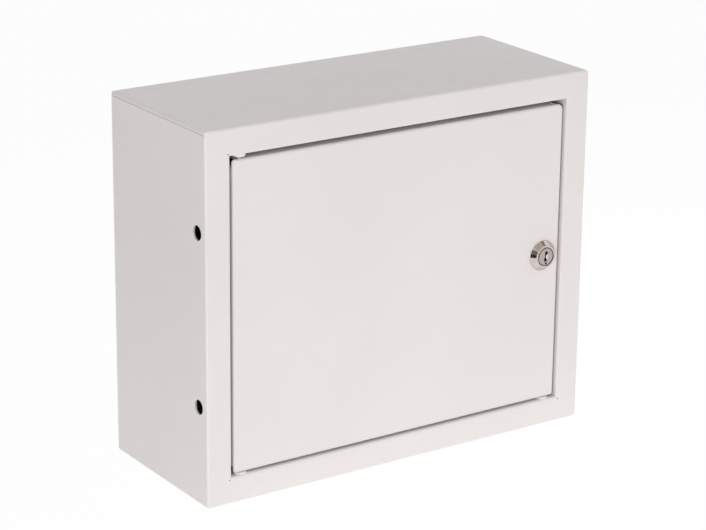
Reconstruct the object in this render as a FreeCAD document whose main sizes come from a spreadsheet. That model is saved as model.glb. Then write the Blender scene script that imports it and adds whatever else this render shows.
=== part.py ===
import FreeCAD, Part
import math
import os
import re
import Sketcher

# Steel wall enclosure with a recessed door, in millimetres.
# The origin is the middle of the wall-fixing holes on the rear face. +X is to the right seen
# from the front, +Z is up and the front faces -Y. "Out" is a distance from the wall towards
# the front, so a place that lies 20 out has y = -20.

SIZES = {
    # case: one folded strip with a front frame and a welded back
    "case_width": 300.0,
    "case_height": 250.0,
    "case_depth": 120.0,
    "sheet_gauge": 1.2,
    "bend_radius": 1.8,
    "wide_bend_radius": 3.6,
    "frame_width": 18.0,
    "lip_bend_radius": 1.5,
    "rear_flange": 15.0,
    "flange_notch": 15.4,
    "relief_radius": 0.5,
    "relief_outset": 1.5,
    "seam_drop": 2.4,
    "seam_width": 0.5,
    "seam_depth": 0.5,
    "side_hole_radius": 5.0,
    "side_hole_setback": 10.3,
    "side_hole_spacing": 116.0,
    # back panel and wall fixings
    "back_gauge": 1.2,
    "back_margin": 3.0,
    "back_corner": 3.0,
    "fixing_inset": 25.0,
    "fixing_radius": 4.0,
    # mounting plate on four welded studs
    "plate_margin": 35.0,
    "plate_gauge": 1.5,
    "plate_corner": 4.0,
    "plate_hole_inset": 10.0,
    "stud_radius": 3.0,
    "stud_length": 18.0,
    "stud_clearance": 0.3,
    "spacer_radius": 6.0,
    "spacer_length": 8.0,
    "washer_radius": 6.0,
    "washer_gauge": 1.2,
    "nut_width": 10.0,
    "nut_height": 5.0,
    # earthing studs on the case and on the door
    "earth_length": 12.0,
    "case_earth_outset": 10.0,
    "case_earth_drop": 55.0,
    "door_earth_inset": 16.0,
    "door_earth_rise": 28.0,
    # cable entry in the floor of the case, closed by a plate
    "entry_width": 150.0,
    "entry_setback": 14.0,
    "entry_lip_gap": 3.0,
    "entry_corner": 4.0,
    "entry_border": 14.0,
    "gasket_gauge": 2.0,
    "entry_plate_gauge": 1.5,
    "entry_stud_radius": 2.5,
    "entry_stud_length": 10.0,
    "entry_nut_width": 8.0,
    "entry_nut_height": 4.0,
    # door
    "door_recess": 2.0,
    "door_depth": 13.0,
    "door_bend_radius": 1.8,
    "door_wide_corner": 4.0,
    "door_notch": 4.5,
    "pan_corner": 3.0,
    "gap_hinge": 3.0,
    "gap_lock": 1.4,
    "gap_top": 3.6,
    "gap_bottom": 1.15,
    # hinge pins and their nylon bushes
    "hinge_inset": 9.3,
    "hinge_setback": 5.4,
    "pin_radius": 1.5,
    "pin_clearance": 0.05,
    "pin_bend": 4.0,
    "pin_tail": 5.0,
    "pin_end": 2.5,
    "block_wall": 4.0,
    "block_height": 10.0,
    "block_gap": 0.3,
    "collar_radius": 4.3,
    "collar_height": 1.8,
    "flush_collar_radius": 3.8,
    "collar_clearance": 0.15,
    "shank_radius": 3.0,
    "shank_length": 3.0,
    "barb_height": 0.3,
    "clip_radius": 3.6,
    "clip_gauge": 0.8,
    "clip_gap": 0.3,
    # door stops behind the free edge of the door
    "stop_width": 20.0,
    "stop_inset": 25.0,
    "stop_reach": 7.0,
    "stop_leg": 10.0,
    "stop_gap": 0.2,
    # cam lock
    "lock_inset": 13.7,
    "lock_base_radius": 10.65,
    "lock_rim_radius": 7.75,
    "lock_head_height": 4.0,
    "lock_rim_edge": 0.3,
    "lock_groove_radius": 6.7,
    "lock_groove_depth": 0.6,
    "lock_barrel_radius": 8.0,
    "lock_flat": 7.0,
    "flat_margin": 1.0,
    "lock_clearance": 0.1,
    "plug_radius": 5.95,
    "plug_tail_radius": 4.95,
    "plug_step": 0.9,
    "lock_play": 0.1,
    "running_clearance": 0.05,
    "keyway_height": 6.4,
    "keyway_width": 1.5,
    "keyway_jog": 0.7,
    "keyway_depth": 9.0,
    "mark_radius": 0.55,
    "mark_depth": 0.4,
    "mark_drop": 4.6,
    "lock_nut_width": 20.0,
    "lock_nut_height": 3.5,
    "stop_washer_radius": 8.0,
    "stop_washer_gauge": 1.0,
    "lug_width": 2.0,
    "lug_height": 0.9,
    "lug_inner": 5.4,
    "lug_outer": 7.5,
    "cam_square": 7.0,
    "cam_gauge": 2.0,
    "cam_hub_radius": 9.0,
    "cam_width": 14.0,
    "cam_grip": 12.0,
    "cam_clearance": 0.4,
    "cam_corner": 2.0,
    "spring_washer_radius": 5.5,
    "spring_washer_gauge": 1.0,
    "screw_radius": 2.45,
    "screw_reach": 8.0,
    "screw_head_radius": 4.5,
    "screw_head_height": 3.3,
}

# Places that several pieces share, worked out from the sizes above
OPENING_X = "(case_width / 2 - frame_width)"
OPENING_Z = "(case_height / 2 - frame_width)"
DOOR_FACE = "(case_depth - door_recess)"
DOOR_INNER = "(case_depth - door_recess - sheet_gauge)"
DOOR_REAR = "(case_depth - door_recess - door_depth)"
LIP_REAR = DOOR_REAR
DOOR_LEFT = f"(gap_hinge - {OPENING_X})"
DOOR_RIGHT = f"({OPENING_X} - gap_lock)"
DOOR_TOP = f"({OPENING_Z} - gap_top)"
DOOR_LOW = f"(gap_bottom - {OPENING_Z})"
HINGE_X = f"(hinge_inset - {OPENING_X})"
HINGE_OUT = "(case_depth - hinge_setback)"
LOCK_X = f"({DOOR_RIGHT} - lock_inset)"
LOCK_Z = "((gap_bottom - gap_top) / 2)"
FIXING_X = "(case_width / 2 - fixing_inset)"
FIXING_Z = "(case_height / 2 - fixing_inset)"
PLATE_X = "(case_width / 2 - plate_margin)"
PLATE_Z = "(case_height / 2 - plate_margin)"
PLATE_HOLE_X = f"({PLATE_X} - plate_hole_inset)"
PLATE_HOLE_Z = f"({PLATE_Z} - plate_hole_inset)"
PLATE_REAR = "(back_gauge + spacer_length)"
PLATE_FRONT = "(back_gauge + spacer_length + plate_gauge)"
FLOOR = "(sheet_gauge - case_height / 2)"
ENTRY_REAR = "(entry_setback + entry_border)"
ENTRY_FRONT = f"({LIP_REAR} - entry_lip_gap - entry_border)"
ENTRY_STUD_REAR = "(entry_setback + entry_border / 2)"
ENTRY_STUD_FRONT = f"({LIP_REAR} - entry_lip_gap - entry_border / 2)"
CAM_FRONT = f"({LIP_REAR} - cam_clearance)"
CAM_REAR = f"({CAM_FRONT} - cam_gauge)"
HOUSING_REAR = f"({CAM_FRONT} + stop_washer_gauge + lock_play)"
PLUG_SHOULDER = f"({DOOR_FACE} + plug_step)"
SCREW_SEAT = f"({CAM_REAR} - spring_washer_gauge)"

vector = FreeCAD.Vector
doc = FreeCAD.newDocument("wall_enclosure")
nodes = []


def make_sheet():
    """Put every driving size in a spreadsheet cell under its own name."""
    sheet = doc.addObject("Spreadsheet::Sheet", "sizes")
    for row, (name, value) in enumerate(SIZES.items(), start=1):
        sheet.set(f"A{row}", name)
        sheet.set(f"B{row}", str(value))
        sheet.setAlias(f"B{row}", name)
    doc.recompute()


def bind(thing, prop, formula):
    """Bind a property to a formula in the named sizes."""
    thing.setExpression(prop, re.sub(r"\b([a-z][a-z_]*)\b(?!\()", r"sizes.\1", formula))


def place(thing, x="0", out="0", z="0", rotation=None):
    """Turn a thing and bind its place, with out measured from the wall to the front."""
    if rotation:
        thing.Placement = FreeCAD.Placement(vector(0, 0, 0), rotation)
    bind(thing, "Placement.Base.x", x)
    bind(thing, "Placement.Base.y", f"-({out})")
    bind(thing, "Placement.Base.z", z)


def node(thing, name):
    """Keep a finished thing as one named piece of the enclosure."""
    thing.Label = name
    nodes.append(thing)
    return thing


# Sketches

def sketch_on(body, name, role, offset="0"):
    """Start a sketch on one of the body's own origin planes, moved along its normal."""
    sketch = body.newObject("Sketcher::SketchObject", name)
    planes = [item for item in body.Origin.OriginFeatures if item.Role == role]
    sketch.AttachmentSupport = [(planes[0], "")]
    sketch.MapMode = "FlatFace"
    bind(sketch, "AttachmentOffset.Base.z", offset)
    return sketch


def fix_point(sketch, geometry, point, start, across, up):
    """Dimension one point of a sketch from the sketch's origin."""
    for kind, value, formula in (("DistanceX", start.x, across), ("DistanceY", start.y, up)):
        rule = Sketcher.Constraint(kind, -1, 1, geometry, point, value)
        index = sketch.addConstraint(rule)
        bind(sketch, f"Constraints[{index}]", formula)


def polygon(sketch, corners):
    """Draw a closed outline whose corners are pairs of formulas."""
    first = sketch.GeometryCount
    count = len(corners)
    turns = [2 * math.pi * (step + 0.3) / count for step in range(count)]
    starts = [vector(10 * math.cos(turn), 10 * math.sin(turn), 0) for turn in turns]
    for step in range(count):
        sketch.addGeometry(Part.LineSegment(starts[step], starts[(step + 1) % count]))
    for step in range(count):
        follower = first + (step + 1) % count
        sketch.addConstraint(Sketcher.Constraint("Coincident", first + step, 2, follower, 1))
    for step, (across, up) in enumerate(corners):
        fix_point(sketch, first + step, 1, starts[step], across, up)


def rectangle(sketch, left, right, low, high):
    polygon(sketch, [(left, low), (right, low), (right, high), (left, high)])


def cut_rectangle(sketch, left, right, low, high, cut):
    """Draw a rectangle whose corners are cut off at 45 degrees."""
    polygon(sketch, [(f"{left} + {cut}", low), (f"{right} - {cut}", low),
                     (right, f"{low} + {cut}"), (right, f"{high} - {cut}"),
                     (f"{right} - {cut}", high), (f"{left} + {cut}", high),
                     (left, f"{high} - {cut}"), (left, f"{low} + {cut}")])


def centred_rectangle(sketch, half_width, half_height):
    rectangle(sketch, f"-({half_width})", half_width, f"-({half_height})", half_height)


def circle(sketch, across, up, radius):
    start = vector(1.3, 0.7, 0)
    index = sketch.addGeometry(Part.Circle(start, vector(0, 0, 1), 1.0))
    fix_point(sketch, index, 3, start, across, up)
    rule = sketch.addConstraint(Sketcher.Constraint("Radius", index, 1.0))
    bind(sketch, f"Constraints[{rule}]", radius)


# Features

def new_body(name):
    return node(doc.addObject("PartDesign::Body", name), name)


def swept(body, kind, sketch, name, length, backwards=False):
    feature = body.newObject(f"PartDesign::{kind}", name)
    feature.Profile = sketch
    feature.Reversed = backwards
    bind(feature, "Length", length)
    return feature


def pad(body, sketch, name, length, backwards=False):
    return swept(body, "Pad", sketch, name, length, backwards)


def pocket(body, sketch, name, length, backwards=False):
    return swept(body, "Pocket", sketch, name, length, backwards)


def revolve(body, sketch, name):
    feature = body.newObject("PartDesign::Revolution", name)
    feature.Profile = sketch
    feature.ReferenceAxis = (sketch, ["V_Axis"])
    feature.Angle = 360
    return feature


def fillet(body, name, radius, wanted):
    """Round the edges of the body's latest feature that the test picks."""
    doc.recompute()
    base = body.Tip
    edges = [f"Edge{number}" for number, edge in enumerate(base.Shape.Edges, start=1)
             if wanted(edge.BoundBox)]
    feature = body.newObject("PartDesign::Fillet", name)
    feature.Base = (base, edges)
    bind(feature, "Radius", radius)
    return feature


def near(value, target):
    return abs(value - target) < 0.001


def runs_deep(box):
    """True for a straight edge along Y."""
    return near(box.XLength, 0) and near(box.ZLength, 0) and box.YLength > 0.5


def at_out(box, out):
    """True for an edge that lies in one plane parallel to the wall."""
    return near(box.YMin, -out) and near(box.YMax, -out)


# Case

def deep_corner(box, half_width, half_height):
    """True for an edge along Y on a corner of a rectangle."""
    return runs_deep(box) and near(abs(box.XMin), half_width) and near(abs(box.ZMin), half_height)


def top_right(box):
    return box.XMin > 0 and box.ZMin > 0


def round_box(body, name, half_width, half_height, rear, front, less):
    """Round a box's folds, the one between its top and its right wall more widely."""
    fillet(body, f"{name}_wide_bend", f"wide_bend_radius{less}",
           lambda box: deep_corner(box, half_width, half_height) and top_right(box))
    fillet(body, f"{name}_bends", f"bend_radius{less}",
           lambda box: deep_corner(box, half_width, half_height)
           or at_out(box, rear) or at_out(box, front))


def make_case_shell():
    """Fold the case: walls, front frame, lips round the opening and rear flanges."""
    gauge = SIZES["sheet_gauge"]
    half_x = SIZES["case_width"] / 2
    half_z = SIZES["case_height"] / 2
    rear = SIZES["back_gauge"]
    front = SIZES["case_depth"]
    body = new_body("case_shell")

    block = sketch_on(body, "case_outline", "XZ_Plane", "back_gauge")
    centred_rectangle(block, "case_width / 2", "case_height / 2")
    pad(body, block, "case_block", "case_depth - back_gauge")
    round_box(body, "outer", half_x, half_z, rear, front, "")

    hollow = sketch_on(body, "hollow_outline", "XZ_Plane", "back_gauge + sheet_gauge")
    centred_rectangle(hollow, "case_width / 2 - sheet_gauge", "case_height / 2 - sheet_gauge")
    pocket(body, hollow, "hollow", "case_depth - back_gauge - 2 * sheet_gauge", True)
    round_box(body, "inner", half_x - gauge, half_z - gauge, rear + gauge, front - gauge,
              " - sheet_gauge")

    window = sketch_on(body, "rear_window_outline", "XZ_Plane", "back_gauge")
    centred_rectangle(window, "case_width / 2 - rear_flange", "case_height / 2 - rear_flange")
    pocket(body, window, "rear_window", "sheet_gauge", True)

    opening = sketch_on(body, "opening_outline", "XZ_Plane", "case_depth")
    centred_rectangle(opening, OPENING_X, OPENING_Z)
    pocket(body, opening, "door_opening", "sheet_gauge")

    lips = sketch_on(body, "lip_outline", "XZ_Plane", LIP_REAR)
    centred_rectangle(lips, OPENING_X, OPENING_Z)
    centred_rectangle(lips, f"{OPENING_X} + sheet_gauge", f"{OPENING_Z} + sheet_gauge")
    pad(body, lips, "lips", f"case_depth - sheet_gauge - {LIP_REAR}")

    lip_x = half_x - SIZES["frame_width"]
    lip_z = half_z - SIZES["frame_width"]

    def on_opening(box, out, grow):
        upright = near(abs(box.XMin), lip_x + grow) and near(box.XLength, 0)
        level = near(abs(box.ZMin), lip_z + grow) and near(box.ZLength, 0)
        return at_out(box, out) and (upright or level)

    fillet(body, "lip_bends", "lip_bend_radius", lambda box: on_opening(box, front, 0))
    fillet(body, "lip_inner_bends", "lip_bend_radius - sheet_gauge",
           lambda box: on_opening(box, front - gauge, gauge))

    cut_flange_notches(body)
    cut_relief_holes(body)
    cut_side_holes(body)
    cut_bush_holes(body)
    cut_cable_entry(body)
    cut_seam(body)
    return body


def cut_flange_notches(body):
    """Free the top and bottom rear flanges from the side walls, as the blank is cut."""
    slots = sketch_on(body, "flange_slot_outline", "XZ_Plane", "back_gauge")
    steps = sketch_on(body, "corner_step_outline", "XZ_Plane", "back_gauge")
    inner = "case_width / 2 - flange_notch"
    for side in ("", "-"):
        for level in ("", "-"):
            corner_x = f"{side}({inner})"
            window_x = f"{side}(case_width / 2 - rear_flange)"
            bend = "bend_radius" if side or level else "wide_bend_radius"
            bend_x = f"{side}(case_width / 2 - {bend})"
            window_z = f"{level}(case_height / 2 - rear_flange)"
            wall_z = f"{level}(case_height / 2 - sheet_gauge)"
            outer_z = f"{level}(case_height / 2 + sheet_gauge)"
            rectangle(slots, corner_x, window_x, window_z, wall_z)
            rectangle(steps, corner_x, bend_x, wall_z, outer_z)
    pocket(body, slots, "flange_slots", "sheet_gauge", True)
    pocket(body, steps, "corner_steps", "sheet_gauge", True)


def cut_relief_holes(body):
    """Punch the small round reliefs at the opening's corners; the top right one is filled."""
    holes = sketch_on(body, "relief_outline", "XZ_Plane", "case_depth")
    for side, level in (("-", ""), ("-", "-"), ("", "-")):
        circle(holes, f"{side}({OPENING_X} + relief_outset)",
               f"{level}({OPENING_Z} + relief_outset)", "relief_radius")
    pocket(body, holes, "relief_holes", "lip_bend_radius")


def cut_side_holes(body):
    """Punch two round holes in each side wall, close behind the front frame."""
    out = "-(case_depth - side_hole_setback)"
    for name, side in (("left", "-"), ("right", "")):
        holes = sketch_on(body, f"{name}_hole_outline", "YZ_Plane", f"{side}(case_width / 2)")
        circle(holes, out, "side_hole_spacing / 2", "side_hole_radius")
        circle(holes, out, "-side_hole_spacing / 2", "side_hole_radius")
        pocket(body, holes, f"{name}_side_holes", "2 * sheet_gauge", name == "left")


def cut_bush_holes(body):
    """Punch the top and bottom lips for the bushes, so that the door can hang either way."""
    for name, level in (("top", ""), ("bottom", "-")):
        holes = sketch_on(body, f"{name}_bush_outline", "XY_Plane",
                          f"{level}({OPENING_Z} + 2 * sheet_gauge)")
        for side in ("", "-"):
            circle(holes, f"{side}({HINGE_X})", f"-{HINGE_OUT}",
                   "shank_radius + pin_clearance")
        pocket(body, holes, f"{name}_bush_holes", "3 * sheet_gauge", name == "bottom")


def cut_cable_entry(body):
    """Cut the cable entry in the floor of the case."""
    hole = sketch_on(body, "entry_outline", "XY_Plane", "-case_height / 2")
    rectangle(hole, "-entry_width / 2", "entry_width / 2", f"-{ENTRY_FRONT}", f"-{ENTRY_REAR}")
    pocket(body, hole, "cable_entry", "2 * sheet_gauge", True)


def cut_seam(body):
    """Score the joint where the end of the top sheet is folded down to meet the left wall."""
    line = sketch_on(body, "seam_outline", "YZ_Plane", "-case_width / 2")
    rectangle(line, "-(case_depth + sheet_gauge)", "0",
              "case_height / 2 - seam_drop - seam_width", "case_height / 2 - seam_drop")
    pocket(body, line, "seam", "seam_depth", True)


def make_back_panel():
    """Cut the welded back sheet with its four wall-fixing holes."""
    body = new_body("back_panel")
    outline = sketch_on(body, "back_outline", "XZ_Plane")
    centred_rectangle(outline, "case_width / 2 - back_margin", "case_height / 2 - back_margin")
    pad(body, outline, "back_sheet", "back_gauge")
    fillet(body, "back_corners", "back_corner", runs_deep)
    holes = sketch_on(body, "fixing_outline", "XZ_Plane", "back_gauge")
    for side in ("", "-"):
        for level in ("", "-"):
            circle(holes, f"{side}{FIXING_X}", f"{level}{FIXING_Z}", "fixing_radius")
    pocket(body, holes, "fixing_holes", "back_gauge")


# Small turned and hexagonal hardware

TO_FRONT = FreeCAD.Rotation(vector(1, 0, 0), 90)
TO_WALL = FreeCAD.Rotation(vector(1, 0, 0), -90)
UPRIGHT = FreeCAD.Rotation()


def rod(name, radius, length, x, out, z, rotation=TO_FRONT):
    made = doc.addObject("Part::Cylinder", name)
    bind(made, "Radius", radius)
    bind(made, "Height", length)
    place(made, x, out, z, rotation)
    return made


def ring(name, radius, bore, length, x, out, z, rotation=TO_FRONT):
    made = doc.addObject("Part::Cut", name)
    made.Base = rod(f"{name}_blank", radius, length, x, out, z, rotation)
    made.Tool = rod(f"{name}_bore", bore, length, x, out, z, rotation)
    return made


def hex_nut(name, width, bore, height, x, out, z, rotation=TO_FRONT):
    blank = doc.addObject("Part::Prism", f"{name}_blank")
    blank.Polygon = 6
    bind(blank, "Circumradius", f"{width} / sqrt(3)")
    bind(blank, "Height", height)
    place(blank, x, out, z, rotation)
    made = doc.addObject("Part::Cut", name)
    made.Base = blank
    made.Tool = rod(f"{name}_bore", bore, height, x, out, z, rotation)
    return made


def group(name, members):
    made = doc.addObject("Part::Compound", name)
    made.Links = members
    return node(made, name)


def four(name, maker, half_x, half_z):
    """Make one piece at each corner of a rectangle and keep the four as one node."""
    members = []
    for side, side_name in (("", "right"), ("-", "left")):
        for level, level_name in (("", "upper"), ("-", "lower")):
            part_name = f"{name}_{level_name}_{side_name}"
            members.append(maker(part_name, f"{side}({half_x})", f"{level}({half_z})"))
    return group(name, members)


def make_mounting_plate():
    """Set the equipment plate on spacers over four studs welded to the back."""
    body = new_body("mounting_plate")
    outline = sketch_on(body, "plate_outline", "XZ_Plane", PLATE_REAR)
    centred_rectangle(outline, PLATE_X, PLATE_Z)
    pad(body, outline, "plate_sheet", "plate_gauge")
    fillet(body, "plate_corners", "plate_corner", runs_deep)
    holes = sketch_on(body, "plate_hole_outline", "XZ_Plane", PLATE_FRONT)
    for side in ("", "-"):
        for level in ("", "-"):
            circle(holes, f"{side}{PLATE_HOLE_X}", f"{level}{PLATE_HOLE_Z}",
                   "stud_radius + stud_clearance")
    pocket(body, holes, "plate_holes", "plate_gauge")

    bore = "stud_radius + stud_clearance"
    four("plate_studs",
         lambda name, x, z: rod(name, "stud_radius", "stud_length", x, "back_gauge", z),
         PLATE_HOLE_X, PLATE_HOLE_Z)
    four("plate_spacers",
         lambda name, x, z: ring(name, "spacer_radius", bore, "spacer_length",
                                 x, "back_gauge", z),
         PLATE_HOLE_X, PLATE_HOLE_Z)
    four("plate_washers",
         lambda name, x, z: ring(name, "washer_radius", bore, "washer_gauge",
                                 x, PLATE_FRONT, z),
         PLATE_HOLE_X, PLATE_HOLE_Z)
    four("plate_nuts",
         lambda name, x, z: hex_nut(name, "nut_width", "stud_radius + running_clearance",
                                    "nut_height", x, f"{PLATE_FRONT} + washer_gauge", z),
         PLATE_HOLE_X, PLATE_HOLE_Z)


def make_earth_stud(owner, x, seat, z, to_front):
    """Weld an earthing stud to a sheet and put a washer and a nut on it."""
    rotation = TO_FRONT if to_front else TO_WALL
    sign = "+" if to_front else "-"
    nut_seat = f"{seat} {sign} washer_gauge"
    node(rod(f"{owner}_earth_stud", "stud_radius", "earth_length", x, seat, z, rotation),
         f"{owner}_earth_stud")
    node(ring(f"{owner}_earth_washer", "washer_radius", "stud_radius + stud_clearance",
              "washer_gauge", x, seat, z, rotation), f"{owner}_earth_washer")
    node(hex_nut(f"{owner}_earth_nut", "nut_width", "stud_radius + running_clearance",
                 "nut_height", x, nut_seat, z, rotation), f"{owner}_earth_nut")


def make_cable_entry():
    """Close the cable entry from inside with a gasket and a plate on four studs."""
    half_x = "entry_width / 2 + entry_border"
    front = f"{ENTRY_FRONT} + entry_border"
    stud_x = "(entry_width / 2 + entry_border / 2)"

    def flat_piece(name, rise, gauge, hollow):
        body = new_body(name)
        outline = sketch_on(body, f"{name}_outline", "XY_Plane", f"{FLOOR} + {rise}")
        rectangle(outline, f"-({half_x})", half_x, f"-({front})", "-entry_setback")
        if hollow:
            rectangle(outline, "-entry_width / 2", "entry_width / 2",
                      f"-{ENTRY_FRONT}", f"-{ENTRY_REAR}")
        pad(body, outline, f"{name}_sheet", gauge)
        holes = sketch_on(body, f"{name}_hole_outline", "XY_Plane", f"{FLOOR} + {rise} + {gauge}")
        for side in ("", "-"):
            for out in (ENTRY_STUD_FRONT, ENTRY_STUD_REAR):
                circle(holes, f"{side}{stud_x}", f"-{out}", "entry_stud_radius + stud_clearance")
        pocket(body, holes, f"{name}_holes", gauge)
        corner_x = SIZES["entry_width"] / 2 + SIZES["entry_border"]
        fillet(body, f"{name}_corners", "entry_corner",
               lambda box: near(box.XLength, 0) and near(box.YLength, 0)
               and near(abs(box.XMin), corner_x))

    flat_piece("entry_gasket", "0", "gasket_gauge", True)
    flat_piece("entry_plate", "gasket_gauge", "entry_plate_gauge", False)

    def four_upright(name, maker):
        members = []
        for side, side_name in (("", "right"), ("-", "left")):
            for out, row_name in ((ENTRY_STUD_FRONT, "front"), (ENTRY_STUD_REAR, "rear")):
                members.append(maker(f"{name}_{row_name}_{side_name}", f"{side}{stud_x}", out))
        group(name, members)

    nut_seat = f"{FLOOR} + gasket_gauge + entry_plate_gauge"
    four_upright("entry_studs",
                 lambda name, x, out: rod(name, "entry_stud_radius", "entry_stud_length",
                                          x, out, FLOOR, UPRIGHT))
    four_upright("entry_nuts",
                 lambda name, x, out: hex_nut(name, "entry_nut_width",
                                              "entry_stud_radius + running_clearance",
                                              "entry_nut_height", x, out, nut_seat, UPRIGHT))


# Door

def make_door_panel():
    """Fold the door: a flat pan whose four flanges stop short of its corners."""
    half_x = SIZES["case_width"] / 2 - SIZES["frame_width"]
    half_z = SIZES["case_height"] / 2 - SIZES["frame_width"]
    gauge = SIZES["sheet_gauge"]
    face = SIZES["case_depth"] - SIZES["door_recess"]
    left = SIZES["gap_hinge"] - half_x
    right = half_x - SIZES["gap_lock"]
    low = SIZES["gap_bottom"] - half_z
    high = half_z - SIZES["gap_top"]
    body = new_body("door_panel")

    def corner(box):
        on_x = near(box.XMin, left) or near(box.XMax, right)
        on_z = near(box.ZMin, low) or near(box.ZMax, high)
        return runs_deep(box) and on_x and on_z

    outline = sketch_on(body, "door_outline", "XZ_Plane", DOOR_REAR)
    rectangle(outline, DOOR_LEFT, DOOR_RIGHT, DOOR_LOW, DOOR_TOP)
    pad(body, outline, "door_block", "door_depth")

    fillet(body, "wide_corner", "door_wide_corner",
           lambda box: corner(box) and top_right(box))
    fillet(body, "door_bends", "door_bend_radius",
           lambda box: at_out(box, face) or corner(box))

    hollow = sketch_on(body, "pan_outline", "XZ_Plane", DOOR_REAR)
    cut_rectangle(hollow, f"{DOOR_LEFT} + sheet_gauge", f"{DOOR_RIGHT} - sheet_gauge",
                  f"{DOOR_LOW} + sheet_gauge", f"{DOOR_TOP} - sheet_gauge", "pan_corner")
    pocket(body, hollow, "pan", "door_depth - sheet_gauge", True)
    fillet(body, "pan_bends", "door_bend_radius - sheet_gauge",
           lambda box: at_out(box, face - gauge))

    notches = sketch_on(body, "corner_notch_outline", "XZ_Plane", DOOR_REAR)
    for edge_x, inner_x in ((DOOR_LEFT, f"{DOOR_LEFT} + door_notch"),
                            (f"{DOOR_RIGHT} - door_notch", DOOR_RIGHT)):
        for edge_z, inner_z in ((DOOR_LOW, f"{DOOR_LOW} + door_notch"),
                                (f"{DOOR_TOP} - door_notch", DOOR_TOP)):
            rectangle(notches, edge_x, inner_x, edge_z, inner_z)
    pocket(body, notches, "corner_notches", "door_depth - door_bend_radius", True)

    hole = sketch_on(body, "lock_hole_outline", "XZ_Plane", DOOR_FACE)
    circle(hole, LOCK_X, LOCK_Z, "lock_barrel_radius + lock_clearance")
    pocket(body, hole, "lock_hole", "2 * sheet_gauge")

    for name, height, backwards in (("top", DOOR_TOP, False), ("bottom", DOOR_LOW, True)):
        pin_holes = sketch_on(body, f"{name}_pin_outline", "XY_Plane", height)
        for side in ("", "-"):
            circle(pin_holes, f"{side}{HINGE_X}", f"-{HINGE_OUT}", "pin_radius + pin_clearance")
        pocket(body, pin_holes, f"{name}_pin_holes", "2 * sheet_gauge", backwards)


def make_hinge_bush(name, side, top):
    """Turn a nylon bush: a collar inside the opening and a barbed shank through the lip.

    The lower collars are thinner, as the door rides just above them.
    """
    body = new_body(name)
    half = sketch_on(body, f"{name}_outline", "XZ_Plane")
    bore = "pin_radius + pin_clearance"
    collar_end = "-collar_height" if top else "collar_clearance - gap_bottom"
    polygon(half, [(bore, collar_end),
                   ("collar_radius", collar_end),
                   ("collar_radius", "0"),
                   ("shank_radius", "0"),
                   ("shank_radius", "sheet_gauge + pin_clearance"),
                   ("shank_radius + barb_height", "sheet_gauge + pin_clearance + barb_height"),
                   ("shank_radius - barb_height", "shank_length"),
                   (bore, "shank_length")])
    revolve(body, half, f"{name}_turned")
    flip = UPRIGHT if top else FreeCAD.Rotation(vector(1, 0, 0), 180)
    place(body, f"{side}{HINGE_X}", HINGE_OUT, OPENING_Z if top else f"-{OPENING_Z}", flip)


def make_flush_bush():
    """Turn the bush that plugs the unused upper hole from inside, flush with the lip."""
    body = new_body("spare_bush_top")
    half = sketch_on(body, "spare_bush_top_outline", "XZ_Plane")
    bore = "pin_radius + pin_clearance"
    end = "sheet_gauge + collar_height"
    polygon(half, [(bore, "0"), ("shank_radius", "0"), ("shank_radius", "sheet_gauge"),
                   ("flush_collar_radius", "sheet_gauge"), ("flush_collar_radius", end),
                   (bore, end)])
    revolve(body, half, "spare_bush_top_turned")
    place(body, f"-({HINGE_X})", HINGE_OUT, OPENING_Z)


def make_hinge_pin(name, top):
    """Bend a wire pin: a straight run through block and bush, then a tail to pull it by."""
    way = "" if top else "-"
    edge = DOOR_TOP if top else f"-{DOOR_LOW}"
    run_start = f"({edge} - sheet_gauge - pan_corner - 2 * block_gap - block_height)"
    run_end = f"({OPENING_Z} + shank_length + pin_end)"
    aim = UPRIGHT if top else FreeCAD.Rotation(vector(1, 0, 0), 180)
    run = rod(f"{name}_run", "pin_radius", f"{run_end} - {run_start}",
              HINGE_X, HINGE_OUT, f"{way}{run_start}", aim)
    bend = doc.addObject("Part::Torus", f"{name}_bend")
    bind(bend, "Radius1", "pin_bend")
    bind(bend, "Radius2", "pin_radius")
    bend.Angle3 = 90
    down = vector(0, 0, -1) if top else vector(0, 0, 1)
    axis = vector(0, -1, 0).cross(down)
    place(bend, HINGE_X, f"{HINGE_OUT} - pin_bend", f"{way}{run_start}",
          FreeCAD.Rotation(vector(0, -1, 0), down, axis, "ZXY"))
    tail = rod(f"{name}_tail", "pin_radius", "pin_tail", HINGE_X, f"{HINGE_OUT} - pin_bend",
               f"{way}({run_start} - pin_bend)", TO_WALL)
    made = doc.addObject("Part::MultiFuse", name)
    made.Shapes = [run, bend, tail]
    node(made, name)


def make_hinge_block(name, top):
    """Cut the welded block that carries a hinge pin inside the door."""
    body = new_body(name)
    way = "" if top else "-"
    edge = DOOR_TOP if top else f"-{DOOR_LOW}"
    start = f"({edge} - sheet_gauge - pan_corner - block_gap)"
    outline = sketch_on(body, f"{name}_outline", "XY_Plane", f"{way}{start}")
    rectangle(outline, f"{DOOR_LEFT} + door_bend_radius + block_gap", f"{HINGE_X} + block_wall",
              f"-{DOOR_INNER}", f"block_wall - {HINGE_OUT}")
    circle(outline, HINGE_X, f"-{HINGE_OUT}", "pin_radius + pin_clearance")
    pad(body, outline, f"{name}_block", "block_height", top)


def make_door_stop(name, level):
    """Bend the tab that is welded on the lip behind the free edge of the door."""
    body = new_body(name)
    outline = sketch_on(body, f"{name}_outline", "XY_Plane",
                        f"{level}({OPENING_Z} - stop_inset) - stop_width / 2")
    seat = f"{OPENING_X} + sheet_gauge"
    back = f"{seat} + sheet_gauge"
    face = f"stop_gap - {LIP_REAR}"
    polygon(outline, [(seat, f"-({LIP_REAR} + stop_leg)"),
                      (back, f"-({LIP_REAR} + stop_leg)"),
                      (back, f"{face} + sheet_gauge"),
                      (f"{OPENING_X} - stop_reach", f"{face} + sheet_gauge"),
                      (f"{OPENING_X} - stop_reach", face),
                      (seat, face)])
    pad(body, outline, f"{name}_tab", "stop_width")


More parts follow.
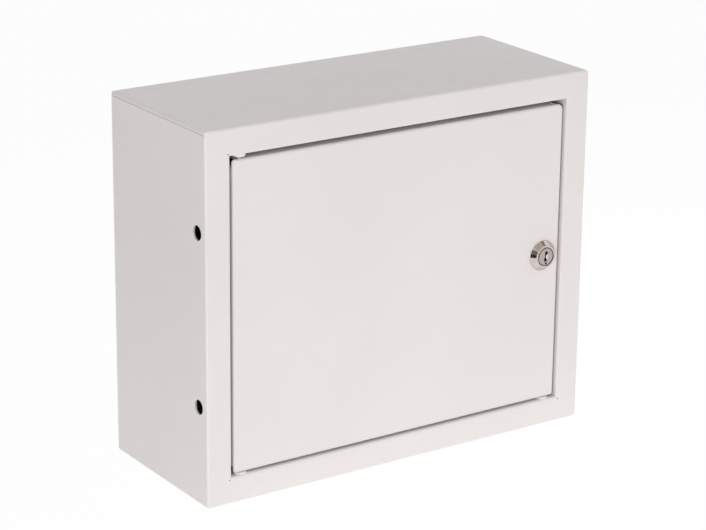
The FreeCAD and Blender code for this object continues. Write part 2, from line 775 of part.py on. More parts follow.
# Lock, with its bodies placed on the lock's axis

def at_lock(body):
    place(body, LOCK_X, "0", LOCK_Z)


def turned(name, points):
    """Turn a body on the lock's axis from pairs of radius and out."""
    body = new_body(name)
    half = sketch_on(body, f"{name}_outline", "XY_Plane")
    polygon(half, [(radius, f"-({out})") for radius, out in points])
    revolve(body, half, f"{name}_turned")
    at_lock(body)
    return body


def make_lock_housing():
    """Turn the lock's housing: a conical head, a grooved front rim and a flatted barrel.

    A quarter of the barrel's end is cut back, and the stop washer's lug travels in it.
    """
    front = f"{DOOR_FACE} + lock_head_height"
    bore = "plug_radius + running_clearance"
    tail_bore = "plug_tail_radius + running_clearance"
    shoulder = f"{PLUG_SHOULDER} - lock_play"
    body = turned("lock_housing", [
        (tail_bore, HOUSING_REAR),
        ("lock_barrel_radius", HOUSING_REAR),
        ("lock_barrel_radius", DOOR_FACE),
        ("lock_base_radius", DOOR_FACE),
        ("lock_base_radius", f"{DOOR_FACE} + lock_rim_edge"),
        ("lock_rim_radius", f"{front} - lock_rim_edge"),
        ("lock_rim_radius - lock_rim_edge", front),
        ("lock_groove_radius", front),
        ("lock_groove_radius", f"{front} - lock_groove_depth"),
        (bore, f"{front} - lock_groove_depth"),
        (bore, shoulder),
        (tail_bore, shoulder)])
    flats = sketch_on(body, "lock_flat_outline", "XZ_Plane", DOOR_INNER)
    for side in ("", "-"):
        rectangle(flats, f"{side}lock_flat", f"{side}(lock_barrel_radius + flat_margin)",
                  "-lock_barrel_radius", "lock_barrel_radius")
    pocket(body, flats, "lock_flats", f"{DOOR_INNER} - {HOUSING_REAR}")
    stop = "(lug_width / 2 + lock_play)"
    outer = "(lock_barrel_radius + flat_margin)"
    notch = sketch_on(body, "stop_notch_outline", "XZ_Plane", HOUSING_REAR)
    rectangle(notch, f"-{outer}", stop, f"-{stop}", outer)
    pocket(body, notch, "stop_notch", "lug_height + lock_play", True)


def make_lock_nut():
    nut = hex_nut("lock_nut", "lock_nut_width", "lock_barrel_radius + running_clearance",
                  "lock_nut_height", LOCK_X, DOOR_INNER, LOCK_Z, TO_WALL)
    node(nut, "lock_nut")


def make_lock_plug():
    """Turn the plug, square its tail, and cut the keyway and the mark under it."""
    front = f"{DOOR_FACE} + lock_head_height"
    body = turned("lock_plug", [
        ("0", f"{CAM_FRONT} + stop_washer_gauge"),
        ("plug_tail_radius", f"{CAM_FRONT} + stop_washer_gauge"),
        ("plug_tail_radius", PLUG_SHOULDER),
        ("plug_radius", PLUG_SHOULDER),
        ("plug_radius", f"{front} - lock_rim_edge"),
        ("plug_radius - lock_rim_edge", front),
        ("0", front)])
    square = sketch_on(body, "tail_outline", "XZ_Plane", f"{CAM_REAR} + lock_play")
    centred_rectangle(square, "cam_square / 2", "cam_square / 2")
    pad(body, square, "square_tail", "cam_gauge + stop_washer_gauge - lock_play")
    bore = sketch_on(body, "screw_bore_outline", "XZ_Plane", f"{CAM_REAR} + lock_play")
    circle(bore, "0", "0", "screw_radius + running_clearance")
    pocket(body, bore, "screw_bore", "screw_reach", True)

    keyway = sketch_on(body, "keyway_outline", "XZ_Plane", front)
    half = "keyway_width / 2"
    top = "keyway_height / 2"
    polygon(keyway, [(f"keyway_jog - {half}", top),
                     (f"keyway_jog - {half}", "keyway_jog"),
                     (f"-{half}", "keyway_jog"),
                     (f"-{half}", "-keyway_jog"),
                     (f"-keyway_jog - {half}", "-keyway_jog"),
                     (f"-keyway_jog - {half}", f"-({top})"),
                     (half, f"-({top})"),
                     (half, "keyway_jog"),
                     (f"keyway_jog + {half}", "2 * keyway_jog"),
                     (f"keyway_jog + {half}", top)])
    pocket(body, keyway, "keyway", "keyway_depth")
    mark = sketch_on(body, "mark_outline", "XZ_Plane", front)
    circle(mark, "0", "-mark_drop", "mark_radius")
    pocket(body, mark, "mark", "mark_depth")


def make_lock_tail():
    """Stack the stop washer, the cam, its washer and its screw on the plug's tail."""
    hole_half = "(cam_square + lock_clearance) / 2"
    washer = new_body("stop_washer")
    ring_outline = sketch_on(washer, "stop_washer_outline", "XZ_Plane", CAM_FRONT)
    circle(ring_outline, "0", "0", "stop_washer_radius")
    centred_rectangle(ring_outline, hole_half, hole_half)
    pad(washer, ring_outline, "stop_washer_sheet", "stop_washer_gauge")
    lug = sketch_on(washer, "stop_lug_outline", "XZ_Plane", f"{CAM_FRONT} + stop_washer_gauge")
    rectangle(lug, "-lug_width / 2", "lug_width / 2", "lug_inner", "lug_outer")
    pad(washer, lug, "stop_lug", "lug_height")
    at_lock(washer)

    reach = "(lock_inset + gap_lock + cam_grip)"
    cam = new_body("lock_cam")
    hub = sketch_on(cam, "cam_hub_outline", "XZ_Plane", CAM_REAR)
    circle(hub, "0", "0", "cam_hub_radius")
    pad(cam, hub, "cam_hub", "cam_gauge")
    arm = sketch_on(cam, "cam_arm_outline", "XZ_Plane", CAM_REAR)
    rectangle(arm, "-cam_width / 2", "cam_width / 2", f"-{reach}", "0")
    pad(cam, arm, "cam_arm", "cam_gauge")
    tip = SIZES["lock_inset"] + SIZES["gap_lock"] + SIZES["cam_grip"]
    fillet(cam, "cam_tip", "cam_corner", lambda box: runs_deep(box) and near(box.ZMin, -tip))
    square = sketch_on(cam, "cam_square_outline", "XZ_Plane", CAM_FRONT)
    centred_rectangle(square, hole_half, hole_half)
    pocket(cam, square, "cam_square_hole", "cam_gauge")
    at_lock(cam)

    node(ring("cam_washer", "spring_washer_radius", "screw_radius + stud_clearance",
              "spring_washer_gauge", LOCK_X, CAM_REAR, LOCK_Z, TO_WALL), "cam_washer")
    turned("cam_screw", [
        ("0", f"{SCREW_SEAT} - screw_head_height"),
        ("screw_head_radius", f"{SCREW_SEAT} - screw_head_height"),
        ("screw_head_radius", SCREW_SEAT),
        ("screw_radius", SCREW_SEAT),
        ("screw_radius", f"{CAM_REAR} + screw_reach - lock_play"),
        ("0", f"{CAM_REAR} + screw_reach - lock_play")])


def make_case():
    make_case_shell()
    make_back_panel()
    make_mounting_plate()
    make_earth_stud("case", f"-({PLATE_X} + case_earth_outset)", "back_gauge",
                    "-case_earth_drop", True)
    make_cable_entry()
    for name, side, top in (("hinge_bush_top", "", True), ("hinge_bush_bottom", "", False),
                            ("spare_bush_bottom", "-", False)):
        make_hinge_bush(name, side, top)
    make_flush_bush()
    make_door_stop("door_stop_top", "")
    make_door_stop("door_stop_bottom", "-")


def make_door():
    make_door_panel()
    for name, top in (("top", True), ("bottom", False)):
        make_hinge_block(f"hinge_block_{name}", top)
        make_hinge_pin(f"hinge_pin_{name}", top)
    node(ring("pin_clip", "clip_radius", "pin_radius", "clip_gauge", HINGE_X, HINGE_OUT,
              f"{OPENING_Z} + shank_length + clip_gap", UPRIGHT), "pin_clip")
    make_earth_stud("door", f"{DOOR_LEFT} + door_earth_inset", DOOR_INNER,
                    f"{DOOR_LOW} + door_earth_rise", False)


def make_lock():
    make_lock_housing()
    make_lock_nut()
    make_lock_plug()
    make_lock_tail()


def check_model():
    """Stop if any feature failed, cut nothing, or left a piece that is not sound."""
    for thing in doc.Objects:
        if "Invalid" in thing.State or "Error" in thing.State:
            raise RuntimeError(f"{thing.Name} failed: {thing.State}")
        if thing.TypeId == "PartDesign::Pocket":
            if thing.Shape.Volume > thing.BaseFeature.Shape.Volume - 0.01:
                raise RuntimeError(f"{thing.Name} cuts nothing")
    for thing in nodes:
        if thing.Shape.isNull() or not thing.Shape.isValid():
            raise RuntimeError(f"{thing.Label} has no sound shape")


make_sheet()
make_case()
make_door()
make_lock()
doc.recompute()
check_model()
os.makedirs("parts", exist_ok=True)
for piece in nodes:
    piece.Shape.exportStep(f"parts/{piece.Label}.step")
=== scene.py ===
import math

import bpy
from mathutils import Matrix, Vector


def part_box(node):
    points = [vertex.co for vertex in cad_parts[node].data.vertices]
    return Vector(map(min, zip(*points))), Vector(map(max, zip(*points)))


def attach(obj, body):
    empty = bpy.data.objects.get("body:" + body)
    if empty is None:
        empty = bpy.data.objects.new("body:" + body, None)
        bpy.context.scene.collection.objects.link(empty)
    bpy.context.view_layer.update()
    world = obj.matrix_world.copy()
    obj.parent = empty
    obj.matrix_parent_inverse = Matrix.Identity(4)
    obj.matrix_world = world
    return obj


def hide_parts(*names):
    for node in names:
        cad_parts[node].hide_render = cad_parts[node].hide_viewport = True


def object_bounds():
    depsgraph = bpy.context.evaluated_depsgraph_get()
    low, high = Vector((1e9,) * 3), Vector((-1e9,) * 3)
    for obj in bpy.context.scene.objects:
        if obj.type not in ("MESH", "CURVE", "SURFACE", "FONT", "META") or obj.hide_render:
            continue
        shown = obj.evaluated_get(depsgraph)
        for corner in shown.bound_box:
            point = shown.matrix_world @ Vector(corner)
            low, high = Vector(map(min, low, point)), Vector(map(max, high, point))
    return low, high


# A painted steel wall box with a recessed door, dressed for the camera.
# Lengths are metres in the part's own frame: +X right, +Z up, and the door faces -Y.

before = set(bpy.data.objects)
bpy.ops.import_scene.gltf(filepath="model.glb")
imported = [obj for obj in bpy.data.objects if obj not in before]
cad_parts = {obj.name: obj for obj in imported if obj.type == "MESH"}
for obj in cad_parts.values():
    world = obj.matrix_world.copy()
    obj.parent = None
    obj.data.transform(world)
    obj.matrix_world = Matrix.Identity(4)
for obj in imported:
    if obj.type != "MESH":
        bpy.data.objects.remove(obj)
cad_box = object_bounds()

MM = 0.001
TURN = 2 * math.pi

# Tones, as linear red, green and blue
PAINT = (0.79, 0.748, 0.74)
PAINT_SHADED = (0.765, 0.722, 0.712)
ZINC_DARK = (0.60, 0.62, 0.635)
ZINC_LIGHT = (0.69, 0.71, 0.72)
PLATING_DARK = (0.58, 0.59, 0.60)
PLATING_LIGHT = (0.74, 0.75, 0.76)
NICKEL = (0.69, 0.635, 0.595)
NICKEL_DULL = (0.60, 0.545, 0.51)
# The plug face's tones are darkened and tinted mauve: a painted reflection of grey surroundings
PLUG_REFLECTED_TONE = (0.50, 0.445, 0.455)
PLUG_WORN_AND_REFLECTED = (0.44, 0.39, 0.40)
# Darker nickel in the lock's groove and the plug's dot: painted shade
GROOVE_PAINTED_SHADE = (0.40, 0.345, 0.31)
NYLON = (0.83, 0.84, 0.86)
NYLON_SHADED = (0.76, 0.77, 0.79)
FOAM = (0.030, 0.031, 0.033)
FOAM_WORN = (0.055, 0.056, 0.058)

# Camera, as read off the photograph's edges
CAMERA_TURN = math.radians(-34.14)
CAMERA_RISE = math.radians(18.54)
CAMERA_ROLL = math.radians(0.63)
CAMERA_DISTANCE = 1.6906
CAMERA_AIM = Vector((-0.0002, -0.0612, -0.0034))
CAMERA_LENS = 127.9
CAMERA_SENSOR = 36.0
VIEW_NEAR = 0.05
VIEW_FAR = 50.0

# Studio: a soft dome, a pale table that glows round the box, and one soft lamp at the front left
FLOOR_GAP = 0.2 * MM
FLOOR_HALF = 6.0
FLOOR_TONE = (0.86, 0.855, 0.85)
FLOOR_GLOW = 0.42
GLOW_MIDDLE = (0.25, -0.2, 0)
GLOW_NEAR = 0.25
GLOW_FAR = 0.9
SHADOW_SHARE = 0.05
ROOM_LIGHT = 0.62
ROOM_TILT = (0.36, -0.20, 0)
KEY_LIGHT_POWER = 29.0
KEY_LIGHT_WIDTH = 1.0
KEY_LIGHT_PLACE = Vector((-2.14, -1.80, 0.2))

# Two screens, one above the other, across from the lock, with a mat on the floor before them
SCREEN_WAY = Vector((-0.905, -0.425, 0))
SCREEN_SIDE = Vector((0.425, -0.905, 0))
SCREEN_FAR = 0.8
SCREEN_HALF = 0.5
SCREEN_STEP = 0.06
SCREEN_TOP = 0.52
SCREEN_BLACK = (0.015, 0.014, 0.012)
SCREEN_OLIVE = (0.21, 0.195, 0.17)
MAT_HALF = 0.19

# A roof and a darker batten lie overhead: their middles and half widths across and along
ROOF_HEIGHT = 0.6
ROOF_PLACE = (-0.053, -0.372)
ROOF_HALF = (0.425, 0.45)
ROOF_TONE = (0.59, 0.52, 0.485)
BATTEN_PLACE = (0.46, -0.262)
BATTEN_HALF = (0.085, 0.3)
BATTEN_TONE = (0.19, 0.15, 0.125)

# A bright strip stands beside the box's front left edge, and a bright card before the keyway
GLINT_PLACE = Vector((-0.174, -0.1358, -0.01))
GLINT_SIDE = Vector((0.010, -0.011, 0))
GLINT_RISE = 0.135
GLINT_TONE = (3.0, 2.95, 2.9)
GLEAM_WAY = Vector((-0.360, -0.927, -0.100))
GLEAM_SIDE = Vector((0.932, -0.362, 0))
GLEAM_FAR = 0.6
GLEAM_HALF = 0.11
GLEAM_TONE = (1.7, 1.65, 1.65)

# Rolled edges, and how finely round shapes are cut
EDGE = 0.15 * MM
EDGE_STEPS = 2
WELD_GAP = EDGE / 50
SMOOTH_UP_TO = math.radians(38)
ROUND_STEPS = 48
BARREL_STEPS = 96
HEAD_ROWS = 8
THREAD_STEPS = 6

# Fasteners
M6_RADIUS = 3.0 * MM
M6_PITCH = 1.0 * MM
M6_NUT_WIDTH = 10.0 * MM
M5_RADIUS = 2.5 * MM
M5_PITCH = 0.8 * MM
M5_NUT_WIDTH = 8.0 * MM
THREAD_SHARE = 0.61
NUT_CHAMFER = math.radians(30)
NUT_FACE = 0.95
WASHER_SLACK = 2 * EDGE
SPLIT_HALF = math.radians(7)
SPLIT_SLANT = math.radians(12)
CAM_SCREW_HEAD = 4.5 * MM
CAM_SCREW_SHANK = 2.45 * MM
CAM_WASHER_RADIUS = 5.5 * MM
SOCKET_SHARE = 0.6

# Lock housing: heights are measured from the door's face
HEAD_HEIGHT = 4.0 * MM
HEAD_FOOT = 10.65 * MM
HEAD_RIM = 7.75 * MM
HEAD_BULGE = 0.05 * MM
GROOVE_OUTER = 6.7 * MM
GROOVE_DEPTH = 0.9 * MM
PLUG_BORE = 6.0 * MM
TAIL_BORE = 5.0 * MM
SHOULDER_HEIGHT = 0.8 * MM
BARREL_RADIUS = 8.0 * MM
BARREL_PITCH = 1.0 * MM
BARREL_FLAT = 7.0 * MM
FLAT_LIMIT = 0.01
LOCK_NUT_WIDTH = 20.0 * MM
DOOR_GAUGE = 1.2 * MM
STOP_HALF = 1.4 * MM
STOP_DEPTH = 1.0 * MM

# How far the cutters of the plug's face stand out before it
OVERCUT = 0.1 * MM

# Keyway's worn mouth: outlines are millimetres across and up from the lock's axis
MOUTH_DEPTH = 2.5 * MM
MOUTH_OUTLINE = ((1.45, 3.2), (1.15, 3.9), (-0.5, 3.9), (-0.8, 3.5), (-0.8, 0.5), (0.6, 0.5),
                 (1.45, 1.4))

# The scoop beside the keyway: its flank leans across with height and slopes out towards the face
SCOOP_DEPTH = 0.75 * MM
SCOOP_ROOT = 0.75
SCOOP_LOW = -1.8
SCOOP_HIGH = 1.4
SCOOP_LEFT = -0.3
SCOOP_LEAN = 0.244
SCOOP_SLOPE = 1.92
FLANK_MATCH = 0.995

# The shaded dot below the keyway
DOT_DEPTH = 1.0 * MM
DOT_HALF = 1.0
DOT_TOP = -3.8
DOT_OUTLINE = ((DOT_HALF, -4.7), (0.7, DOT_TOP), (-0.7, DOT_TOP), (-DOT_HALF, -4.7), (-0.6, -5.2),
               (0.6, -5.2))

# Ways a fastener's own axis points, as turns about X
TO_FRONT = math.radians(90)
TO_WALL = math.radians(-90)
UPRIGHT = 0.0

# M6 sets: studs, nuts, washers, the way they point, and their body
STUD_SETS = (("plate_studs", "plate_nuts", "plate_washers", TO_FRONT, "case"),
             ("case_earth_stud", "case_earth_nut", "case_earth_washer", TO_FRONT, "case"),
             ("door_earth_stud", "door_earth_nut", "door_earth_washer", TO_WALL, "door"))

# Decimals of a metre to which a stud's place is rounded, so that a single stud counts once
PLACE_DECIMALS = 6

# Corners of a sheet, in half widths from its middle
SQUARE = ((-1, -1), (1, -1), (1, 1), (-1, 1))

# The middle values of a pattern, which are widened to its whole range
PATTERN_LOW = 0.35
PATTERN_HIGH = 0.65


class Kit:
    """Adds nodes to one tree, linking what is given as a socket and setting what is a value."""

    def __init__(self, tree):
        self.tree = tree

    def add(self, kind, inputs=(), **settings):
        node = self.tree.nodes.new(kind)
        for name, value in settings.items():
            setattr(node, name, value)
        for key, value in dict(inputs).items():
            if isinstance(value, bpy.types.NodeSocket):
                self.tree.links.new(value, node.inputs[key])
            else:
                node.inputs[key].default_value = value
        return node

    def math(self, operation, *values):
        return self.add("ShaderNodeMath", enumerate(values), operation=operation).outputs[0]

    def link(self, source, target):
        self.tree.links.new(source, target)


class Finish(Kit):
    """A procedural material on the object's own coordinates, sized in metres."""

    def __init__(self, name, colour, roughness, metal=0.0):
        self.material = bpy.data.materials.new(name)
        self.material.use_nodes = True
        self.material.diffuse_color = (*colour, 1)
        super().__init__(self.material.node_tree)
        self.shader = self.tree.nodes["Principled BSDF"]
        self.shader.inputs["Base Color"].default_value = (*colour, 1)
        self.shader.inputs["Roughness"].default_value = roughness
        self.shader.inputs["Metallic"].default_value = metal
        self.place = self.add("ShaderNodeTexCoord").outputs["Object"]
        self.bumps = None

    def noise(self, size, detail=2.0, place=None):
        inputs = {"Vector": place or self.place, "Scale": 1 / size, "Detail": detail}
        return self.add("ShaderNodeTexNoise", inputs).outputs["Fac"]

    def cells(self, size):
        inputs = {"Vector": self.place, "Scale": 1 / size}
        return self.add("ShaderNodeTexVoronoi", inputs, feature="F1").outputs

    def stretched(self, x, y, z):
        """The object's place, scaled along each axis, so that a pattern becomes streaks."""
        inputs = {"Vector": self.place, "Scale": (x, y, z)}
        return self.add("ShaderNodeMapping", inputs).outputs["Vector"]

    def spread(self, pattern, low, high):
        """Widen a pattern's middle values to the whole range from low to high."""
        inputs = {"Value": pattern, "From Min": PATTERN_LOW, "From Max": PATTERN_HIGH,
                  "To Min": low, "To Max": high}
        return self.add("ShaderNodeMapRange", inputs).outputs["Result"]

    def colour(self, pattern, first, second):
        inputs = {"Factor": self.spread(pattern, 0, 1), "A": (*first, 1), "B": (*second, 1)}
        mix = self.add("ShaderNodeMix", (), data_type="RGBA")
        for socket in mix.inputs:
            if socket.enabled and socket.name in inputs:
                value = inputs[socket.name]
                if isinstance(value, bpy.types.NodeSocket):
                    self.link(value, socket)
                else:
                    socket.default_value = value
        shown = [socket for socket in mix.outputs if socket.enabled][0]
        self.link(shown, self.shader.inputs["Base Color"])

    def gloss(self, pattern, low, high):
        self.link(self.spread(pattern, low, high), self.shader.inputs["Roughness"])

    def relief(self, pattern, depth):
        """Add one layer of fine relief, depth metres high."""
        inputs = {"Height": pattern, "Distance": depth, "Strength": 1.0}
        if self.bumps:
            inputs["Normal"] = self.bumps
        self.bumps = self.add("ShaderNodeBump", inputs).outputs["Normal"]
        self.link(self.bumps, self.shader.inputs["Normal"])


def powder_coat():
    """Satin powder coat with fine orange peel and hardly visible clouds of tone."""
    paint = Finish("powder_coat", PAINT, roughness=0.42)
    paint.colour(paint.noise(size=140 * MM, detail=3.0), PAINT_SHADED, PAINT)
    paint.gloss(paint.noise(size=9 * MM, detail=3.0), low=0.38, high=0.46)
    paint.relief(paint.noise(size=1.3 * MM, detail=1.0), depth=0.006 * MM)
    paint.relief(paint.noise(size=0.3 * MM, detail=1.0), depth=0.002 * MM)
    return paint.material


def galvanised_sheet():
    """Galvanised sheet: soft crystal spangle over faint rolling lines."""
    zinc = Finish("galvanised_sheet", ZINC_LIGHT, roughness=0.4, metal=1.0)
    crystals = zinc.cells(size=3.5 * MM)["Color"]
    spangle = zinc.add("ShaderNodeSeparateColor", {"Color": crystals}).outputs["Red"]
    contrast, darkest = 0.2, 0.4
    softened = zinc.math("MULTIPLY_ADD", spangle, contrast, darkest)
    zinc.colour(softened, ZINC_DARK, ZINC_LIGHT)
    zinc.gloss(softened, low=0.32, high=0.44)
    rolled = zinc.stretched(x=0.02, y=1, z=1)
    zinc.relief(zinc.noise(size=0.6 * MM, detail=2.0, place=rolled), depth=0.004 * MM)
    return zinc.material


def bright_zinc():
    """Bright zinc plating on turned and pressed hardware."""
    plating = Finish("bright_zinc", PLATING_LIGHT, roughness=0.25, metal=1.0)
    plating.colour(plating.noise(size=2.5 * MM, detail=3.0), PLATING_DARK, PLATING_LIGHT)
    plating.gloss(plating.noise(size=0.8 * MM, detail=3.0), low=0.20, high=0.36)
    plating.relief(plating.noise(size=0.4 * MM, detail=2.0), depth=0.003 * MM)
    return plating.material


def polished_nickel():
    """Warm polished nickel on the lock's head, slightly rippled by its die."""
    nickel = Finish("polished_nickel", NICKEL, roughness=0.14, metal=1.0)
    nickel.colour(nickel.noise(size=5 * MM, detail=2.0), NICKEL_DULL, NICKEL)
    nickel.gloss(nickel.noise(size=1.5 * MM, detail=3.0), low=0.10, high=0.20)
    nickel.relief(nickel.noise(size=2.5 * MM, detail=1.0), depth=0.010 * MM)
    return nickel.material


def turned_nickel():
    """The plug's face: nickel over fine lathe rings round the lock's axis, darkened and tinted
    mauve as a painted reflection.
    """
    face = Finish("turned_nickel", PLUG_REFLECTED_TONE, roughness=0.26, metal=1.0)
    face.colour(face.noise(size=1.2 * MM, detail=3.0), PLUG_WORN_AND_REFLECTED, PLUG_REFLECTED_TONE)
    centred = face.add("ShaderNodeMapping", {"Vector": face.place, "Location": -lock_axis()})
    flat = face.add("ShaderNodeSeparateXYZ", {"Vector": centred.outputs["Vector"]})
    across, up = flat.outputs["X"], flat.outputs["Z"]
    squares = face.math("ADD", face.math("POWER", across, 2.0), face.math("POWER", up, 2.0))
    ring_pitch = 0.16 * MM
    turns = face.math("MULTIPLY", face.math("SQRT", squares), TURN / ring_pitch)
    face.gloss(face.noise(size=0.7 * MM, detail=2.0), low=0.20, high=0.32)
    face.relief(face.math("SINE", turns), depth=0.0015 * MM)
    return face.material


def shadowed_nickel():
    """Rougher nickel painted darker, as painted shade in the lock's groove and the plug's dot."""
    groove = Finish("shadowed_nickel", GROOVE_PAINTED_SHADE, roughness=0.5, metal=1.0)
    groove.gloss(groove.noise(size=0.6 * MM, detail=3.0), low=0.42, high=0.60)
    return groove.material


def moulded_nylon():
    """Natural white nylon, a little waxy."""
    nylon = Finish("moulded_nylon", NYLON, roughness=0.45)
    nylon.shader.inputs["Subsurface Weight"].default_value = 0.15
    nylon.shader.inputs["Subsurface Radius"].default_value = (1 * MM, 1 * MM, 1 * MM)
    nylon.colour(nylon.noise(size=3 * MM), NYLON_SHADED, NYLON)
    nylon.relief(nylon.noise(size=0.5 * MM), depth=0.004 * MM)
    return nylon.material


def foam_rubber():
    """Dark closed-cell foam with small pores."""
    foam = Finish("foam_rubber", FOAM, roughness=0.9)
    foam.colour(foam.noise(size=4 * MM), FOAM, FOAM_WORN)
    foam.relief(foam.cells(size=0.6 * MM)["Distance"], depth=0.05 * MM)
    return foam.material


# Objects

def add_object(name, data):
    made = bpy.data.objects.new(name, data)
    bpy.context.scene.collection.objects.link(made)
    return made


def mesh_object(name, points, faces):
    mesh = bpy.data.meshes.new(name)
    mesh.from_pydata(points, [], faces)
    return add_object(name, mesh)


def sheet_object(name, corners, material):
    made = mesh_object(name, corners, [(0, 1, 2, 3)])
    made.data.materials.append(material)
    return made


def settle(piece):
    """Make what a piece's modifiers shape its own plain mesh."""
    bpy.context.view_layer.update()
    shaped = piece.evaluated_get(bpy.context.evaluated_depsgraph_get())
    piece.data = bpy.data.meshes.new_from_object(shaped)
    piece.modifiers.clear()


def finish_mesh(mesh, finish):
    mesh.materials.clear()
    mesh.materials.append(finish)
    mesh.shade_smooth()
    mesh.set_sharp_from_angle(angle=SMOOTH_UP_TO)
    mesh.update()


def keep(piece, body, slot, finish, *nodes):
    """Dress a finished piece, let it ride its body and stand for its nodes."""
    finish_mesh(piece.data, finish)
    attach(piece, body)
    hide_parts(*nodes)


# Studio

def blank_kit(block):
    """An empty node tree to fill, of a material or the world."""
    block.use_nodes = True
    kit = Kit(block.node_tree)
    kit.tree.nodes.clear()
    return kit


def seen_share(kit):
    """1 for what the camera, reflections and clear things see, 0 for light that falls on things."""
    path = kit.add("ShaderNodeLightPath")
    seen = kit.math("MAXIMUM", path.outputs["Is Camera Ray"], path.outputs["Is Glossy Ray"])
    return kit.math("MAXIMUM", seen, path.outputs["Is Transmission Ray"])


def make_floor():
    """A pale table: white to the camera but for a share of its shadow, and glowing near the box."""
    material = bpy.data.materials.new("studio_floor")
    kit = blank_kit(material)
    place = kit.add("ShaderNodeTexCoord").outputs["Object"]
    flat = kit.add("ShaderNodeVectorMath", {0: place, 1: (1, 1, 0)}, operation="MULTIPLY")
    away = kit.add("ShaderNodeVectorMath", {0: flat.outputs[0], 1: GLOW_MIDDLE},
                   operation="DISTANCE")
    glow = kit.add("ShaderNodeMapRange", {
        "Value": away.outputs["Value"], "From Min": GLOW_NEAR, "From Max": GLOW_FAR,
        "To Min": FLOOR_GLOW, "To Max": 0.0})
    lit = kit.add("ShaderNodeBsdfDiffuse", {"Color": (*FLOOR_TONE, 1)})
    glowing = kit.add("ShaderNodeEmission", {"Strength": glow.outputs["Result"]})
    table = kit.add("ShaderNodeAddShader",
                    {0: lit.outputs["BSDF"], 1: glowing.outputs["Emission"]})
    white = kit.add("ShaderNodeEmission", {"Strength": 1.0})
    share = kit.math("MULTIPLY", seen_share(kit), 1 - SHADOW_SHARE)
    mixed = kit.add("ShaderNodeMixShader", {"Fac": share, 1: table.outputs["Shader"],
                                            2: white.outputs["Emission"]})
    output = kit.add("ShaderNodeOutputMaterial")
    kit.link(mixed.outputs["Shader"], output.inputs["Surface"])
    level = cad_box[0].z - FLOOR_GAP
    corners = [(x * FLOOR_HALF, y * FLOOR_HALF, level) for x, y in SQUARE]
    sheet_object("floor", corners, material)


def make_room_light():
    """A plain grey dome, lighter at the front right, that lights softly and is seen as white."""
    world = bpy.data.worlds.new("studio")
    bpy.context.scene.world = world
    kit = blank_kit(world)
    way = kit.add("ShaderNodeTexCoord").outputs["Generated"]
    tilt = kit.add("ShaderNodeVectorMath", {0: way, 1: ROOM_TILT}, operation="DOT_PRODUCT")
    light = kit.math("ADD", tilt.outputs["Value"], ROOM_LIGHT)
    strength = kit.math("MULTIPLY_ADD", seen_share(kit), kit.math("SUBTRACT", 1.0, light), light)
    background = kit.add("ShaderNodeBackground", {"Color": (1, 1, 1, 1), "Strength": strength})
    output = kit.add("ShaderNodeOutputWorld")
    kit.link(background.outputs["Background"], output.inputs["Surface"])


def make_key_light():
    """One soft square lamp, which polished metal doesn't mirror."""
    data = bpy.data.lights.new("key_light", "AREA")
    data.shape = "SQUARE"
    data.size = KEY_LIGHT_WIDTH
    data.energy = KEY_LIGHT_POWER
    lamp = add_object("key_light", data)
    lamp.location = KEY_LIGHT_PLACE
    lamp.rotation_euler = (-KEY_LIGHT_PLACE).to_track_quat("-Z", "Y").to_euler()
    lamp.visible_glossy = False


def reflection_card(name, middle, side, up, tone):
    """A sheet of one tone beside the set, which only reflections see."""
    material = bpy.data.materials.new(name)
    kit = blank_kit(material)
    shine = kit.add("ShaderNodeEmission", {"Color": (*tone, 1), "Strength": 1.0})
    output = kit.add("ShaderNodeOutputMaterial")
    kit.link(shine.outputs["Emission"], output.inputs["Surface"])
    corners = [middle + x * side + y * up for x, y in SQUARE]
    card = sheet_object(name, corners, material)
    card.visible_camera = False
    card.visible_diffuse = False
    card.visible_transmission = False
    card.visible_shadow = False


def make_reflections():
    """What the lock mirrors, and a bright strip that picks out the box's front left edge."""
    foot = lock_axis() + SCREEN_WAY * SCREEN_FAR
    floor_level = cad_box[0].z

    def screen(name, low, high, tone):
        middle = Vector((foot.x, foot.y, (low + high) / 2))
        up = Vector((0, 0, (high - low) / 2))
        reflection_card(name, middle, SCREEN_SIDE * SCREEN_HALF, up, tone)

    def overhead(name, place, half, tone):
        middle = Vector((*place, ROOF_HEIGHT))
        reflection_card(name, middle, Vector((half[0], 0, 0)), Vector((0, half[1], 0)), tone)

    screen("dark_screen", floor_level, SCREEN_STEP, SCREEN_BLACK)
    screen("olive_screen", SCREEN_STEP, SCREEN_TOP, SCREEN_OLIVE)
    reflection_card("dark_mat", Vector((foot.x, foot.y, floor_level)) - SCREEN_WAY * MAT_HALF,
                    SCREEN_SIDE * SCREEN_HALF, SCREEN_WAY * MAT_HALF, SCREEN_BLACK)
    overhead("grey_roof", ROOF_PLACE, ROOF_HALF, ROOF_TONE)
    overhead("dark_batten", BATTEN_PLACE, BATTEN_HALF, BATTEN_TONE)
    reflection_card("glint", GLINT_PLACE, GLINT_SIDE, Vector((0, 0, GLINT_RISE)), GLINT_TONE)
    reflection_card("key_gleam", lock_axis() + GLEAM_WAY * GLEAM_FAR, GLEAM_SIDE * GLEAM_HALF,
                    Vector((0, 0, GLEAM_HALF)), GLEAM_TONE)


def make_camera():
    """Stand the camera to the left and above, as in the photograph, and tilt it by its roll."""
    data = bpy.data.cameras.new("camera")
    data.sensor_width = CAMERA_SENSOR
    data.lens = CAMERA_LENS
    data.clip_start = VIEW_NEAR
    data.clip_end = VIEW_FAR
    camera = add_object("camera", data)
    ahead = Vector((-math.sin(CAMERA_TURN) * math.cos(CAMERA_RISE),
                    math.cos(CAMERA_TURN) * math.cos(CAMERA_RISE),
                    -math.sin(CAMERA_RISE)))
    camera.location = CAMERA_AIM - ahead * CAMERA_DISTANCE
    aim = ahead.to_track_quat("-Z", "Y").to_matrix()
    camera.rotation_euler = (aim @ Matrix.Rotation(CAMERA_ROLL, 3, "Z")).to_euler()
    bpy.context.scene.camera = camera


# Turned shapes

